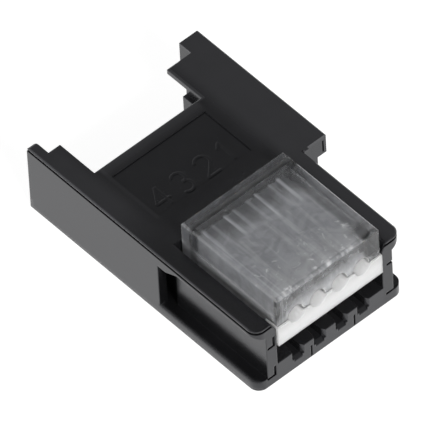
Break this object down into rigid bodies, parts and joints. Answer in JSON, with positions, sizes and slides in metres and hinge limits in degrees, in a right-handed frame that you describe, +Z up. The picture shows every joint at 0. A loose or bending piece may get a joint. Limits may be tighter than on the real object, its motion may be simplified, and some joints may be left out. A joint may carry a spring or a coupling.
{
  "type": "insulation displacement connector",
  "caption": "Black in-line connector body with guide arms and a side keying rail; a clear press-down cover over a white wire guide pushes wires onto forked contacts.",
  "frame": {"origin": "on the bottom face, under the middle of the contact row, half way along the body", "axes": "+X along the contact row towards the keying rail, +Y towards the mating end, +Z up towards the cover"},
  "size_m": [0.0157, 0.0237, 0.0082],
  "materials": {
    "housing": "satin moulded black",
    "cover": "clear, slightly hazy",
    "wire_guide": "white",
    "contact": "plated copper alloy"
  },
  "bodies": {
    "housing": {"housing": "housing", "contact_1": "contact", "contact_2": "contact", "contact_3": "contact", "contact_4": "contact"},
    "cover": {"cover": "cover", "wire_guide": "wire_guide"}
  },
  "joints": [
    {"name": "cover_press", "type": "slide", "parent": "housing", "child": "cover", "axis": [0, 0, 1], "range_m": [-0.00173, 0]}
  ]
}
